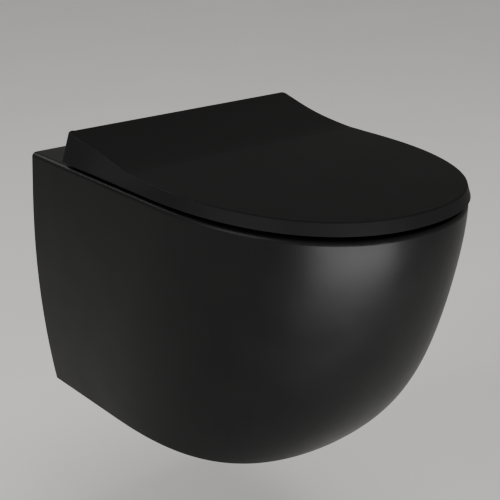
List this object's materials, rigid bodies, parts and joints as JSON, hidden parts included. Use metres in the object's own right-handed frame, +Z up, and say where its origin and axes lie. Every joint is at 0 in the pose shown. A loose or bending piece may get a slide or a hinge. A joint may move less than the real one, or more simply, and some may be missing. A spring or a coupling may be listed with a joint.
{
  "type": "wall hung toilet",
  "caption": "Compact wall hung toilet in matt black: skirted D-plan pan, flat deck and slim wrap-over soft-close lid that sweeps up at the back.",
  "frame": {"origin": "midway between the two wall bolts, on the wall plane", "axes": "+Z up, +X to the right seen from the front, +Y into the wall; the pan stands out towards -Y"},
  "size_m": [0.3652, 0.4986, 0.358],
  "materials": {
    "matt_ceramic": "matt glaze",
    "matt_duroplast": "matt moulded",
    "black_rubber": "moulded",
    "grey_rubber": "moulded",
    "white_plastic": "moulded",
    "damper_plastic": "moulded",
    "black_metal": "powder coated",
    "zinc_steel": "zinc plated",
    "stainless_steel": "ground"
  },
  "bodies": {
    "pan": {"ceramic_pan": "matt_ceramic", "flush_distributor": "white_plastic", "inlet_seal": "black_rubber", "outlet_gasket": "black_rubber", "fixing_sleeves": "white_plastic", "fixing_washers": "zinc_steel", "fixing_nuts": "zinc_steel", "hinge_gaskets": "black_rubber", "hinge_base_left": "black_metal", "hinge_base_right": "black_metal", "hinge_studs": "zinc_steel", "hinge_cones": "black_rubber", "hinge_washers": "zinc_steel", "wing_nuts": "white_plastic", "axle_left": "stainless_steel", "axle_right": "stainless_steel"},
    "seat": {"seat_ring": "matt_duroplast", "seat_bumpers": "grey_rubber", "seat_damper": "damper_plastic", "seat_bush": "damper_plastic", "seat_knuckle_caps": "matt_duroplast"},
    "lid": {"lid": "matt_duroplast", "lid_bumpers": "grey_rubber", "lid_damper": "damper_plastic", "lid_bush": "damper_plastic", "lid_knuckle_caps": "matt_duroplast"}
  },
  "joints": [
    {"name": "seat_hinge", "type": "hinge", "parent": "pan", "child": "seat", "pos_m": [0, -0.054, 0.104], "axis": [-1, 0, 0], "range_deg": [0, 92]},
    {"name": "lid_hinge", "type": "hinge", "parent": "seat", "child": "lid", "pos_m": [0, -0.054, 0.104], "axis": [-1, 0, 0], "range_deg": [0, 95]}
  ]
}
